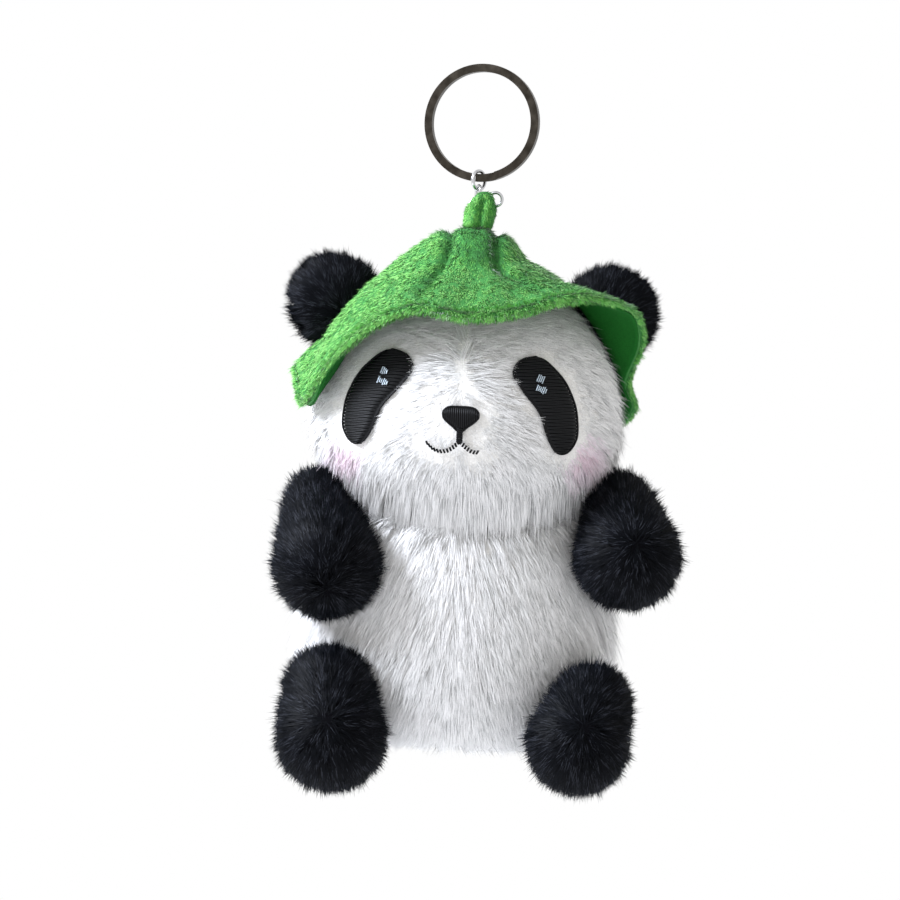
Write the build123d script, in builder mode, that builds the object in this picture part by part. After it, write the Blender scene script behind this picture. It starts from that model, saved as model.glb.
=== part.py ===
"""Plush panda key-chain with a leaf hat, hanging from a split ring.

Millimetres. The origin is the centre of the split ring, +Z is up and the panda looks along -Y.
"right" and "left" in the names are the panda's own: its right side is at -X.
"""

from build123d import *
from math import asin, cos, radians, sin, sqrt
import os

# ---- split ring, two flat turns of spring wire -------------------------------------------
ring_outer_radius = 15.0
ring_band = 2.0
ring_turn_thickness = 0.96
ring_turn_pitch = 1.0
ring_yaw = -15.0
ring_wire_end_angle = -94.0
ring_end_gap = 4.0
ring_crossover_angle = 22.0

# ---- chain --------------------------------------------------------------------------------
link_wire = 0.9
wire_play = 0.12
round_link_radius = 2.4
round_link_top = -12.25
round_link_yaw = 50.0
oval_link_radius = 1.4
oval_link_straight = 1.4
oval_link_yaw = 110.0
jump_wire = 0.85
jump_radius = 1.7
jump_straight = 5.5
jump_yaw = -12.0
jump_tilt = 20.0
jump_link_from_centre = -1.5
chain_swing = 15.0

# ---- head ---------------------------------------------------------------------------------
head_half_width = 38.5
head_depth_ratio = 0.78
head_top, head_equator, head_bottom = -36.0, -77.0, -104.0
head_back = 1.5
head_seam_y = 6.0
cover_thickness = 2.2
fit_gap = 0.05
face_shift = -1.6

# ---- leaf hat -----------------------------------------------------------------------------
leaf_thickness = 1.5
lining_thickness = 0.7
leaf_depth_ratio = 0.84
leaf_crown_rounding = 5.0
leaf_brim_rounding = 9.0
# half of the leaf's outline from the front: crown, sloping side, brim
leaf_outline = ((9.0, -26.8), (46.0, -61.0), (45.0, -92.0))
ear_hole_clearance = 1.0

# ---- ears ---------------------------------------------------------------------------------
ear_centre_x, ear_centre_y, ear_centre_z = 35.3, 5.0, -47.2
ear_radius = 10.5
ear_half_thickness = 5.0

# ---- torso --------------------------------------------------------------------------------
torso_half_width = 39.0
torso_depth_ratio = 0.66
torso_top, torso_equator, torso_bottom = -80.0, -130.0, -166.0
torso_back = 3.0
base_level = -157.0
base_thickness = 1.6
neck_radius = 12.0
neck_centre = (0.0, 2.5, -100.0)
neck_swing = 10.0
body_gap = 0.35

# ---- limbs: joint centre, pad centre, joint radius, pad radius ----------------------------
limbs = {
    "right_arm": ((-37.0, -6.0, -98.2), (-33.0, -20.0, -113.2), 7.0, 12.2),
    "left_arm": ((40.0, -5.0, -95.6), (42.2, -15.0, -107.6), 7.5, 12.0),
    "right_leg": ((-31.0, -20.0, -144.8), (-29.6, -25.0, -155.4), 10.0, 12.4),
    "left_leg": ((35.0, -20.0, -144.6), (31.8, -25.0, -154.0), 8.5, 11.4),
}
limb_cover = 1.5

# ---- stitching -----------------------------------------------------------------------------
stitch_height = 0.8
outline_start, outline_reach = 5.0, 60.0
# distance from the middle of the face, and level, once round an eye from its top
eye_points = (
    (17.2, -59.2), (22.8, -62.3), (27.0, -68.2), (28.8, -75.0), (28.2, -80.2),
    (25.0, -82.6), (22.0, -79.5), (19.6, -73.3), (14.4, -66.8), (12.3, -62.5),
)
# distance from the middle of the face, level, width and height of each block of a glint
glint_blocks = ((18.7, -64.7, 1.4, 2.0), (19.0, -67.2, 2.2, 1.8))
stitch_count = 8
stitch_radius, stitch_width = 0.4, 3.0
stitch_stand_off = 0.15
stitch_first, stitch_step = -118.0, -3.2


def egg(half_width, depth_ratio, top, equator, bottom, y_shift, skin=0.0):
    """A stuffed egg: two half-ellipses turned about Z, flattened front to back.
    skin moves the whole surface inwards by that much."""
    with BuildPart() as solid:
        with BuildSketch(Plane.XZ):
            with BuildLine():
                EllipticalCenterArc(
                    (0, equator), half_width - skin, top - skin - equator, arc_size=90
                )
                EllipticalCenterArc(
                    (0, equator), half_width - skin, equator - bottom - skin,
                    start_angle=-90, arc_size=90,
                )
                Line((0, top - skin), (0, bottom + skin))
            make_face()
        revolve(axis=Axis.Z)
        flattened = depth_ratio - skin * (1 - depth_ratio) / half_width
        scale(by=(1, flattened, 1))
    return Pos(0, y_shift, 0) * solid.part


def head_egg(skin=0.0):
    """The head's surface, or one that lies skin inside it."""
    sizes = (head_half_width, head_depth_ratio, head_top, head_equator, head_bottom)
    return egg(*sizes, head_back, skin)


def torso_egg(skin=0.0):
    """The torso's surface before its base is cut, or one that lies skin inside it."""
    sizes = (torso_half_width, torso_depth_ratio, torso_top, torso_equator, torso_bottom)
    return egg(*sizes, torso_back, skin)


def limb_solid(joint, pad, joint_radius, pad_radius, grow=0.0):
    """A teardrop turned about the line from the joint to the middle of the pad."""
    along = Vector(*pad) - Vector(*joint)
    length = along.length
    small, large = joint_radius + grow, pad_radius + grow
    lean = asin((small - large) / length)
    side = Vector(sin(lean), cos(lean))
    half = Vector(sin((lean - radians(90)) / 2), cos((lean - radians(90)) / 2))
    far_half = Vector(sin((lean + radians(90)) / 2), cos((lean + radians(90)) / 2))
    profile_plane = Plane(origin=joint, x_dir=along, z_dir=along.cross(Vector(0, 0, 1)))
    with BuildPart() as solid:
        with BuildSketch(profile_plane):
            with BuildLine():
                ThreePointArc((-small, 0), half * small, side * small)
                Line(side * small, Vector(length, 0) + side * large)
                ThreePointArc(
                    Vector(length, 0) + side * large,
                    Vector(length, 0) + far_half * large,
                    (length + large, 0),
                )
                Line((length + large, 0), (-small, 0))
            make_face()
        revolve(axis=Axis(joint, along))
    return solid.part


def swing_axis(name):
    """The line that a limb swings about: arms lift sideways, legs forwards."""
    joint = limbs[name][0]
    directions = {"right_arm": (0, 1, 0), "left_arm": (0, -1, 0)}
    return Axis(joint, directions.get(name, (-1, 0, 0)))


def swept_limb(name):
    """The room that a limb needs while it swings clear of the torso, with the gap round it."""
    angles = (0, 10, 20, 30) if "arm" in name else (0, 14, 28, 40)
    start = limb_solid(*limbs[name], grow=body_gap)
    return [start.rotate(swing_axis(name), angle) for angle in angles]


def stadium_wire(plane, straight, bend_radius):
    """A closed path of two straights and two half-circles, long way along the plane's x."""
    half = straight / 2
    with BuildLine(plane) as path:
        Line((-half, bend_radius), (half, bend_radius))
        ThreePointArc((half, bend_radius), (half + bend_radius, 0), (half, -bend_radius))
        Line((half, -bend_radius), (-half, -bend_radius))
        ThreePointArc((-half, -bend_radius), (-half - bend_radius, 0), (-half, bend_radius))
    return path


def wire_loop(plane, straight, bend_radius, wire_diameter):
    """A stadium-shaped link of round wire."""
    path = stadium_wire(plane, straight, bend_radius)
    with BuildPart() as link:
        with BuildSketch(Plane(origin=path.line @ 0, z_dir=path.line % 0)):
            Circle(wire_diameter / 2)
        sweep(path=path.line)
    return link.part


def heading(yaw):
    """The level direction at that angle from +X."""
    return Vector(cos(radians(yaw)), sin(radians(yaw)), 0)


def finish(piece, name):
    """Labels a finished piece and writes its file."""
    piece.label = name
    export_step(piece, f"parts/{name}.step")
    print(f"{name:24s} {piece.volume:10.1f} mm3  solids {len(piece.solids())}")


os.makedirs("parts", exist_ok=True)

# ==== split ring ============================================================================
ring_mid_radius = ring_outer_radius - ring_band / 2
ring_plane = Plane(origin=(0, 0, 0), x_dir=heading(ring_yaw), z_dir=heading(ring_yaw - 90))


def ring_turn(level, start_angle, sweep_angle):
    """One flat turn of the band, a sector of an annulus."""
    with BuildPart() as turn:
        with BuildSketch(ring_plane.offset(level - ring_turn_thickness / 2)):
            with BuildLine():
                outer = CenterArc((0, 0), ring_outer_radius, start_angle, sweep_angle)
                inner = CenterArc(
                    (0, 0), ring_outer_radius - ring_band, start_angle, sweep_angle
                )
                Line(outer @ 0, inner @ 0)
                Line(outer @ 1, inner @ 1)
            make_face()
        extrude(amount=ring_turn_thickness)
    return turn.part


half_pitch = ring_turn_pitch / 2
turn_start = ring_wire_end_angle
turn_sweep = 360 - ring_end_gap - ring_crossover_angle
with BuildPart() as split_ring:
    add(ring_turn(-half_pitch, turn_start, turn_sweep))
    add(ring_turn(half_pitch, turn_start - ring_end_gap, -turn_sweep))
    crossover_sections = 4
    for step in range(crossover_sections):
        share = step / (crossover_sections - 1)
        turned = turn_start - ring_end_gap - ring_crossover_angle * (1 - share)
        centre = ring_plane.from_local_coords(
            (
                ring_mid_radius * cos(radians(turned)),
                ring_mid_radius * sin(radians(turned)),
                ring_turn_pitch * (share - 0.5),
            )
        )
        outwards = ring_plane.from_local_coords(
            (cos(radians(turned)), sin(radians(turned)), 0)
        )
        tangent = outwards.cross(ring_plane.z_dir)
        with BuildSketch(Plane(origin=centre, x_dir=outwards, z_dir=tangent)):
            Rectangle(ring_band, ring_turn_thickness)
    loft(ruled=True)
finish(split_ring.part, "split_ring")

# ==== chain =================================================================================
round_link_centre = round_link_top - round_link_radius
with BuildPart() as round_link:
    link_plane = Plane(
        origin=(0, 0, round_link_centre),
        x_dir=heading(round_link_yaw),
        z_dir=heading(round_link_yaw - 90),
    )
    with BuildSketch(
        Plane(
            origin=Vector(0, 0, round_link_centre) + link_plane.x_dir * round_link_radius,
            x_dir=link_plane.x_dir,
            z_dir=(0, 0, 1),
        )
    ):
        Circle(link_wire / 2)
    revolve(axis=Axis((0, 0, round_link_centre), link_plane.z_dir))
finish(round_link.part, "round_link")

wire_step = link_wire + wire_play
oval_link_top = round_link_top - 2 * round_link_radius + wire_step
oval_link_reach = oval_link_straight / 2 + oval_link_radius
oval_plane = Plane(
    origin=(0, 0, oval_link_top - oval_link_reach),
    x_dir=(0, 0, -1),
    z_dir=heading(oval_link_yaw - 90),
)
oval_link = wire_loop(oval_plane, oval_link_straight, oval_link_radius, link_wire)
finish(oval_link, "oval_link")

oval_link_foot = oval_link_top - 2 * oval_link_reach
jump_bar_rise = (link_wire / 2 + jump_wire / 2 + wire_play) / cos(radians(jump_tilt))
jump_bar_level = oval_link_foot + jump_bar_rise
jump_flat = heading(jump_yaw)
jump_along = jump_flat * cos(radians(jump_tilt)) + Vector(0, 0, 1) * sin(radians(jump_tilt))
jump_across = Vector(0, 0, 1) * cos(radians(jump_tilt)) - jump_flat * sin(radians(jump_tilt))
jump_centre = (
    Vector(0, 0, jump_bar_level)
    - jump_across * jump_radius
    - jump_along * jump_link_from_centre
)
jump_plane = Plane(
    origin=jump_centre, x_dir=jump_along, z_dir=jump_along.cross(jump_across)
)
jump_ring = wire_loop(jump_plane, jump_straight, jump_radius, jump_wire)
finish(jump_ring, "jump_ring")

# ==== hat stem ==============================================================================
# level, centre x, centre y, half width, half depth of each section from the crown to the tip
stem_sections = (
    (-26.75, 0.2, -0.8, 3.0, 2.6),
    (-24.6, 0.5, -1.6, 3.8, 3.0),
    (-22.4, 0.8, -2.0, 3.8, 2.9),
    (-20.4, 1.1, -3.7, 3.2, 1.7),
    (-18.6, 1.5, -4.0, 2.1, 1.3),
    (-17.6, 1.7, -4.1, 1.0, 0.7),
)
jump_tunnel = wire_loop(jump_plane, jump_straight, jump_radius, jump_wire + 2 * fit_gap)
oval_foot_axis = Axis((0, 0, oval_link_foot), heading(oval_link_yaw))
oval_room = wire_loop(
    oval_plane, oval_link_straight, oval_link_radius, link_wire + 2 * body_gap
)
with BuildPart() as hat_stem:
    for level, x, y, half_width, half_depth in stem_sections:
        with BuildSketch(Plane.XY.offset(level)):
            with Locations((x, y)):
                Ellipse(half_width, half_depth)
    loft()
    add(jump_tunnel, mode=Mode.SUBTRACT)
    for share in (-1, -0.5, 0, 0.5, 1):
        add(oval_room.rotate(oval_foot_axis, share * chain_swing), mode=Mode.SUBTRACT)
finish(hat_stem.part, "hat_stem")

# ==== ears ==================================================================================
head_outer = head_egg()
head_inner = head_egg(cover_thickness)
head_clear = head_egg(-fit_gap)


def ear_solid(side, grow=0.0):
    """A flat stuffed disc, standing in the seam between the face and the back of the head."""
    with BuildPart() as ear:
        Sphere(1)
        scale(
            by=(ear_radius + grow, ear_half_thickness + grow, ear_radius + grow)
        )
    return Pos(side * ear_centre_x, ear_centre_y, ear_centre_z) * ear.part


ears = {"right": -1, "left": 1}
for ear_name, side in ears.items():
    ear_whole = ear_solid(side)
    for face, keep in (("front", Keep.TOP), ("back", Keep.BOTTOM)):
        with BuildPart() as ear_panel:
            add(ear_whole)
            add(head_clear, mode=Mode.SUBTRACT)
            split(bisect_by=Plane.XZ.offset(-ear_centre_y), keep=keep)
        finish(ear_panel.part, f"{ear_name}_ear_{face}")

# ==== leaf hat ==============================================================================


def leaf_dome(inset):
    """The space under a leaf surface that lies inset inside the outer one."""
    with BuildPart() as dome:
        with BuildSketch(Plane.XZ):
            with BuildLine():
                Polyline(*leaf_outline, *[(-x, z) for x, z in reversed(leaf_outline)], close=True)
            make_face()
            corners = vertices().group_by(Axis.Y)
            fillet(corners[-1], leaf_crown_rounding)
            fillet(corners[-2], leaf_brim_rounding)
            offset(amount=-inset)
            split(bisect_by=Plane.YZ)
        revolve(axis=Axis.Z)
        scale(by=(1, leaf_depth_ratio, 1))
    return Pos(0, head_back, 0) * dome.part


def leaf_layer(outer_inset, thickness):
    """One layer of the leaf, with its brim line and the two ear holes cut."""
    with BuildPart() as layer:
        add(leaf_dome(outer_inset))
        add(leaf_dome(outer_inset + thickness), mode=Mode.SUBTRACT)
        with BuildSketch(Plane.YZ.offset(-60)):
            with BuildLine():
                Spline((-50, -49), (-30, -50), (-14, -62), (-2, -74), (16, -75), (50, -68))
                Polyline((50, -68), (50, -95), (-50, -95), (-50, -49))
            make_face()
        extrude(amount=120, mode=Mode.SUBTRACT)
        for side in ears.values():
            add(ear_solid(side, ear_hole_clearance), mode=Mode.SUBTRACT)
    return layer.part


leaf_cover = leaf_layer(0.0, leaf_thickness)
leaf_lining = leaf_layer(leaf_thickness + fit_gap, lining_thickness)
finish(leaf_cover, "leaf_cover")
finish(leaf_lining, "leaf_lining")

# ==== head covers and stuffing ==============================================================
head_seam = Plane.XZ.offset(-head_seam_y)
with BuildPart() as head_shell:
    add(head_outer)
    add(head_inner, mode=Mode.SUBTRACT)
head_front_shell = split(head_shell.part, bisect_by=head_seam, keep=Keep.TOP)
for panel_name, keep in (("face_right_panel", Keep.BOTTOM), ("face_left_panel", Keep.TOP)):
    finish(split(head_front_shell, bisect_by=Plane.YZ, keep=keep), panel_name)
finish(split(head_shell.part, bisect_by=head_seam, keep=Keep.BOTTOM), "head_back_panel")
finish(head_egg(cover_thickness + fit_gap), "head_stuffing")

with BuildPart() as neck_stuffing:
    with Locations(neck_centre):
        Sphere(neck_radius)
    add(head_clear, mode=Mode.SUBTRACT)
finish(neck_stuffing.part, "neck_stuffing")

# ==== embroidered face ======================================================================


def embroidered(outline, name, layer=0):
    """A satin-stitched patch: the outline pressed through a thin layer on the face."""
    inner_skin = -fit_gap - layer * (stitch_height + fit_gap)
    with BuildPart() as patch:
        with BuildSketch(Plane.XZ.offset(outline_start)):
            add(outline)
        extrude(amount=outline_reach)
        add(head_egg(inner_skin - stitch_height), mode=Mode.INTERSECT)
        add(head_egg(inner_skin), mode=Mode.SUBTRACT)
    finish(patch.part, name)


def eye_outline(side):
    """A bean leaning outwards at its foot."""
    with BuildSketch() as bean:
        with BuildLine():
            Spline(*[(face_shift + side * x, z) for x, z in eye_points], periodic=True)
        make_face()
    return bean.sketch


def glint_outline(side):
    """Two small slanting blocks of pale thread, one above the other."""
    with BuildSketch() as blocks:
        for x, z, width, height in glint_blocks:
            with Locations((face_shift + side * x, z)):
                Rectangle(width, height, rotation=-20)
    return blocks.sketch


for eye_name, side in ears.items():
    embroidered(eye_outline(side), f"{eye_name}_eye")
    embroidered(glint_outline(side), f"{eye_name}_eye_glint", layer=1)

with BuildSketch() as nose_outline:
    with BuildLine():
        Spline(
            (face_shift - 4.4, -73.6),
            (face_shift, -72.2),
            (face_shift + 4.4, -73.6),
            (face_shift + 1.6, -77.2),
            (face_shift, -78.2),
            (face_shift - 1.6, -77.2),
            periodic=True,
        )
    make_face()
embroidered(nose_outline.sketch, "nose")

with BuildSketch() as mouth_outline:
    with BuildLine() as mouth_line:
        ThreePointArc(
            (face_shift - 8.0, -81.2), (face_shift - 3.8, -83.1), (face_shift, -80.4)
        )
        ThreePointArc(
            (face_shift, -80.4), (face_shift + 1.9, -82.2), (face_shift + 4.8, -83.0)
        )
    trace(line_width=1.1)
    with Locations((face_shift, -79.4)):
        Rectangle(1.1, 2.2)
embroidered(mouth_outline.sketch, "mouth")

# ==== torso =================================================================================
neck_axis = Axis(neck_centre, (1, 0, 0))
head_room = head_egg(-body_gap)
with BuildPart() as neck_room:
    with Locations(neck_centre):
        Sphere(neck_radius + body_gap)
torso_room = [neck_room.part]
torso_room += [head_room.rotate(neck_axis, share * neck_swing) for share in (-1, 0, 1)]
for limb_name in limbs:
    torso_room += swept_limb(limb_name)

base_plane = Plane.XY.offset(base_level)
with BuildPart() as torso_outer:
    add(torso_egg())
    split(bisect_by=base_plane, keep=Keep.TOP)
    for room in torso_room:
        add(room, mode=Mode.SUBTRACT)
with BuildPart() as torso_stuffing:
    add(torso_egg(cover_thickness + fit_gap))
    split(bisect_by=base_plane.offset(base_thickness + fit_gap), keep=Keep.TOP)
    for room in torso_room:
        add(room, mode=Mode.SUBTRACT)
finish(torso_stuffing.part, "torso_stuffing")

with BuildPart() as torso_shell:
    add(torso_outer.part)
    add(torso_egg(cover_thickness), mode=Mode.SUBTRACT)
with BuildPart() as base_panel:
    add(torso_outer.part)
    add(torso_egg(cover_thickness), mode=Mode.INTERSECT)
    split(bisect_by=base_plane.offset(base_thickness), keep=Keep.BOTTOM)
finish(base_panel.part, "base_panel")

side_seam = Plane.XZ.offset(-torso_back)
belly_shell = split(torso_shell.part, bisect_by=side_seam, keep=Keep.TOP)
back_shell = split(torso_shell.part, bisect_by=side_seam, keep=Keep.BOTTOM)
for panel_name, keep in (("belly_right_panel", Keep.BOTTOM), ("belly_left_panel", Keep.TOP)):
    finish(split(belly_shell, bisect_by=Plane.YZ, keep=keep), panel_name)
for panel_name, keep in (("back_right_panel", Keep.BOTTOM), ("back_left_panel", Keep.TOP)):
    finish(split(back_shell, bisect_by=Plane.YZ, keep=keep), panel_name)

# ==== closing stitches on the centre back seam ==============================================
with BuildPart() as closing_stitches:
    for index in range(stitch_count):
        level = stitch_first + index * stitch_step
        half_height = torso_top - torso_equator if level > torso_equator else (
            torso_equator - torso_bottom
        )
        spread = sqrt(1 - ((level - torso_equator) / half_height) ** 2)
        back_face = torso_back + torso_depth_ratio * torso_half_width * spread
        stitch_y = back_face + stitch_radius + stitch_stand_off
        with Locations(Location((0, stitch_y, level), (0, 90, 0))):
            Cylinder(stitch_radius, stitch_width)
finish(closing_stitches.part, "closing_stitches")

# ==== limbs =================================================================================
for limb_name, sizes in limbs.items():
    joint, pad, joint_radius, pad_radius = sizes
    along = Vector(*pad) - Vector(*joint)
    seam = Plane(origin=joint, z_dir=along.cross(Vector(0, 1, 0)))
    with BuildPart() as limb_shell:
        add(limb_solid(*sizes))
        add(limb_solid(*sizes, grow=-limb_cover), mode=Mode.SUBTRACT)
    outward = Keep.TOP if seam.z_dir.X * joint[0] > 0 else Keep.BOTTOM
    inward = Keep.BOTTOM if outward == Keep.TOP else Keep.TOP
    for panel, keep in (("outer", outward), ("inner", inward)):
        finish(
            split(limb_shell.part, bisect_by=seam, keep=keep), f"{limb_name}_{panel}_panel"
        )
    finish(limb_solid(*sizes, grow=-limb_cover - fit_gap), f"{limb_name}_stuffing")
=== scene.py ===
"""The looks of a plush panda key-chain: a stuffed panda in a green leaf hat, hung by steel links
from a split ring. The panda faces -Y, and its own right side is at -X."""

import math

import bmesh
import bpy
import numpy as np
from mathutils import Matrix, Vector
from mathutils.bvhtree import BVHTree


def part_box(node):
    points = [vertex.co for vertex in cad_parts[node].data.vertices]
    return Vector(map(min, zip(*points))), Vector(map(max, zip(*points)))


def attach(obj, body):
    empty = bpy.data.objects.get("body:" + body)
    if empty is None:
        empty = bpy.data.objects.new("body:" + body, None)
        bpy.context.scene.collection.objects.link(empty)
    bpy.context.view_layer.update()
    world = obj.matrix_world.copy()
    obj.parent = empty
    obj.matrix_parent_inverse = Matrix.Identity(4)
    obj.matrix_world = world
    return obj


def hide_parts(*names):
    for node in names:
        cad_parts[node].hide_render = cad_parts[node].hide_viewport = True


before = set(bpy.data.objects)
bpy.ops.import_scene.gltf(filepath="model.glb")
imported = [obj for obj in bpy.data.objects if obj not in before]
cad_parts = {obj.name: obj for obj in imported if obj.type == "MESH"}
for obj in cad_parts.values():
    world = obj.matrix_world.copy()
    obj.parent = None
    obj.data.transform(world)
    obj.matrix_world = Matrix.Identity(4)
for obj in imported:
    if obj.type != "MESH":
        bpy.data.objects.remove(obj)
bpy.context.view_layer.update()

# ==== Studio =================================================================================
# A white room of even light, with one large soft lamp high on the left, so that the panda's
# left cheek and flank fall into a light grey shade. The floor is white paper.
MM = 0.001
camera_distance = 750 * MM
view_centre = Vector((-3.8, 0, -83.9)) * MM
frame_width = 230.8 * MM
camera_lift, camera_roll = math.radians(2.0), math.radians(3.0)

camera_data = bpy.data.cameras.new("camera")
camera_data.lens = camera_data.sensor_width * camera_distance / frame_width
camera = bpy.data.objects.new("camera", camera_data)
camera.location = view_centre + camera_distance * Vector(
    (0, -math.cos(camera_lift), math.sin(camera_lift))
)
camera.rotation_euler = (
    Matrix.Rotation(math.radians(90) - camera_lift, 3, "X")
    @ Matrix.Rotation(camera_roll, 3, "Z")
).to_euler()
bpy.context.scene.collection.objects.link(camera)
bpy.context.scene.camera = camera


def linear(hex_colour):
    """An sRGB hex colour as the linear numbers that shaders take."""
    parts = [int(hex_colour[i:i + 2], 16) / 255 for i in (1, 3, 5)]
    return [p / 12.92 if p <= 0.04045 else ((p + 0.055) / 1.055) ** 2.4 for p in parts] + [1.0]


world = bpy.data.worlds.new("studio")
world.use_nodes = True
world.node_tree.nodes["Background"].inputs["Color"].default_value = linear("#ffffff")
bpy.context.scene.world = world
bpy.context.scene.view_settings.view_transform = "Standard"


def soft_lamp(name, place, size, power, colour):
    """A square lamp that faces the panda."""
    lamp = bpy.data.lights.new(name, "AREA")
    lamp.size = size
    lamp.energy = power
    lamp.color = linear(colour)[:3]
    holder = bpy.data.objects.new(name, lamp)
    holder.location = place
    holder.rotation_euler = (view_centre - Vector(place)).to_track_quat("-Z", "Y").to_euler()
    bpy.context.scene.collection.objects.link(holder)


soft_lamp("key_lamp", (-0.85, -0.34, 0.52), 0.4, 31.0, "#ecf2ff")


def plain_material(name, colour, roughness, **sockets):
    """A material whose Principled node has those values. A socket's name has _ for a space."""
    material = bpy.data.materials.new(name)
    material.use_nodes = True
    shader = material.node_tree.nodes["Principled BSDF"]
    shader.inputs["Base Color"].default_value = linear(colour)
    shader.inputs["Roughness"].default_value = roughness
    for socket, value in sockets.items():
        shader.inputs[socket.replace("_", " ")].default_value = value
    return material


def keep_mesh(shape, name, *materials):
    """Turns a finished bmesh into an object at the origin."""
    mesh = bpy.data.meshes.new(name)
    shape.to_mesh(mesh)
    shape.free()
    for material in materials:
        mesh.materials.append(material)
    piece = bpy.data.objects.new(name, mesh)
    bpy.context.scene.collection.objects.link(piece)
    return piece


floor_level = -320 * MM
floor_shape = bmesh.new()
bmesh.ops.create_circle(floor_shape, cap_ends=True, radius=0.5, segments=96)
bmesh.ops.translate(floor_shape, vec=(0, 0, floor_level), verts=floor_shape.verts)
keep_mesh(floor_shape, "floor", plain_material("white paper", "#f4f4f4", 0.9))

# ==== Split ring =============================================================================
# Two flat turns of spring steel in one piece, rolled and then plated in dark nickel. The plating
# is smooth, with a brown cast and fine dull patches from the barrel that it was plated in.


def add_node(material, kind, settings=(), takes=(), gives=()):
    """Adds a shader node. takes links {its input: (node, output)} and gives {its output:
    (node, input)}. A setting is an attribute of the node or the value of an input."""
    tree = material.node_tree
    node = tree.nodes.new(kind)
    for key, value in dict(settings).items():
        if hasattr(node, key):
            setattr(node, key, value)
        else:
            node.inputs[key].default_value = value
    for socket, (source, output) in dict(takes).items():
        tree.links.new(source.outputs[output], node.inputs[socket])
    for output, (target, socket) in dict(gives).items():
        tree.links.new(node.outputs[output], target.inputs[socket])
    return node


def shader_of(material):
    """The Principled node of a material."""
    return material.node_tree.nodes["Principled BSDF"]


ring_steel = plain_material("spring steel plated in dark nickel", "#4b4640", 0.3, Metallic=1.0)
ring_place = add_node(ring_steel, "ShaderNodeTexCoord")
plating_patch = 2.5 * MM
ring_patches = add_node(
    ring_steel, "ShaderNodeTexNoise", {"Scale": 1 / plating_patch, "Detail": 4.0},
    {"Vector": (ring_place, "Object")},
)
ring_tone = add_node(
    ring_steel, "ShaderNodeValToRGB", (), {"Fac": (ring_patches, "Fac")},
    {"Color": (shader_of(ring_steel), "Base Color")},
)
ring_tone.color_ramp.elements[0].position = 0.3
ring_tone.color_ramp.elements[0].color = linear("#302c27")
ring_tone.color_ramp.elements[1].position = 0.75
ring_tone.color_ramp.elements[1].color = linear("#49443d")
add_node(
    ring_steel, "ShaderNodeMapRange", {"To Min": 0.22, "To Max": 0.42},
    {"Value": (ring_patches, "Fac")}, {"Result": (shader_of(ring_steel), "Roughness")},
)


def finish_cad(node, material):
    """Gives a CAD node that stays its finish."""
    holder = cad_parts[node]
    holder.data.materials.clear()
    holder.data.materials.append(material)


finish_cad("split_ring", ring_steel)

# ==== Wire links =============================================================================
# A round link on the ring, an oval link in it and a long jump ring sewn into the stem: drawn
# steel wire, plated in bright nickel. It mirrors the room, with duller spots from tumbling.
link_steel = plain_material("drawn wire plated in bright nickel", "#c6c6c8", 0.16, Metallic=1.0)
link_place = add_node(link_steel, "ShaderNodeTexCoord")
tumbling_spot = 1.2 * MM
link_spots = add_node(
    link_steel, "ShaderNodeTexNoise", {"Scale": 1 / tumbling_spot, "Detail": 2.0},
    {"Vector": (link_place, "Object")},
)
add_node(
    link_steel, "ShaderNodeMapRange", {"To Min": 0.1, "To Max": 0.34},
    {"Value": (link_spots, "Fac")}, {"Result": (shader_of(link_steel), "Roughness")},
)
for link_node in ("round_link", "oval_link", "jump_ring"):
    finish_cad(link_node, link_steel)

# ==== Leaf hat ===============================================================================
# A leaf cut from short-pile green plush, darted into a cone at the stem and lined with a smooth
# darker knit. Its brim is turned over into a soft hem. It is sewn to the head at the crown.
hat_axis_y = 1.5
# the brim's edge once round, from the middle of the front towards the panda's right
brim_edge = (
    (-0.4, -34.5, -49.4), (-16, -33, -48.4), (-31, -27, -58.4), (-39.2, -17, -70.6),
    (-42.0, -8, -73.4), (-44.4, 2, -65.5), (-43.0, 14, -67.5), (-36, 26, -74),
    (-18, 35, -79), (0, 38, -81), (18, 35, -80), (36, 26, -77),
    (39.6, 14, -76.0), (43.2, 6, -70.0), (40.8, 0, -63.5), (43.4, -6, -54.5),
    (41.4, -14, -47.5), (36, -22, -44.6), (27.0, -28.0, -43.2), (20, -31.0, -44.3),
    (14.8, -32.7, -46.4),
)
rib_knots = (0, 0.14, 0.40, 0.70, 1)
brim_bulge = 2.0
leaf_spokes, leaf_rows = 180, 44
stem_foot_radius = 0.04


def along(knots, values, places):
    """A smooth curve through values at rising knots, read at places."""
    knots, values = np.asarray(knots, float), np.asarray(values, float)
    slopes = np.gradient(values, knots, axis=0)
    low = np.clip(np.searchsorted(knots, places, "right") - 1, 0, len(knots) - 2)
    step = (knots[low + 1] - knots[low])[:, None]
    t = (places - knots[low])[:, None] / step
    return (
        values[low] * (2 * t ** 3 - 3 * t ** 2 + 1) + slopes[low] * step * (t ** 3 - 2 * t ** 2 + t)
        + values[low + 1] * (3 * t ** 2 - 2 * t ** 3) + slopes[low + 1] * step * (t ** 3 - t ** 2)
    )


def brim_at(angles):
    """The brim's edge at angles from the front, positive towards the panda's left."""
    edge = np.array(brim_edge, float)
    own = np.arctan2(edge[:, 0], hat_axis_y - edge[:, 1])
    order = np.argsort(own)
    own, edge = own[order], edge[order]
    turn = 2 * math.pi
    knots = np.concatenate((own[-2:] - turn, own, own[:2] + turn))
    return along(knots, np.concatenate((edge[-2:], edge, edge[:2])), angles)


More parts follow.
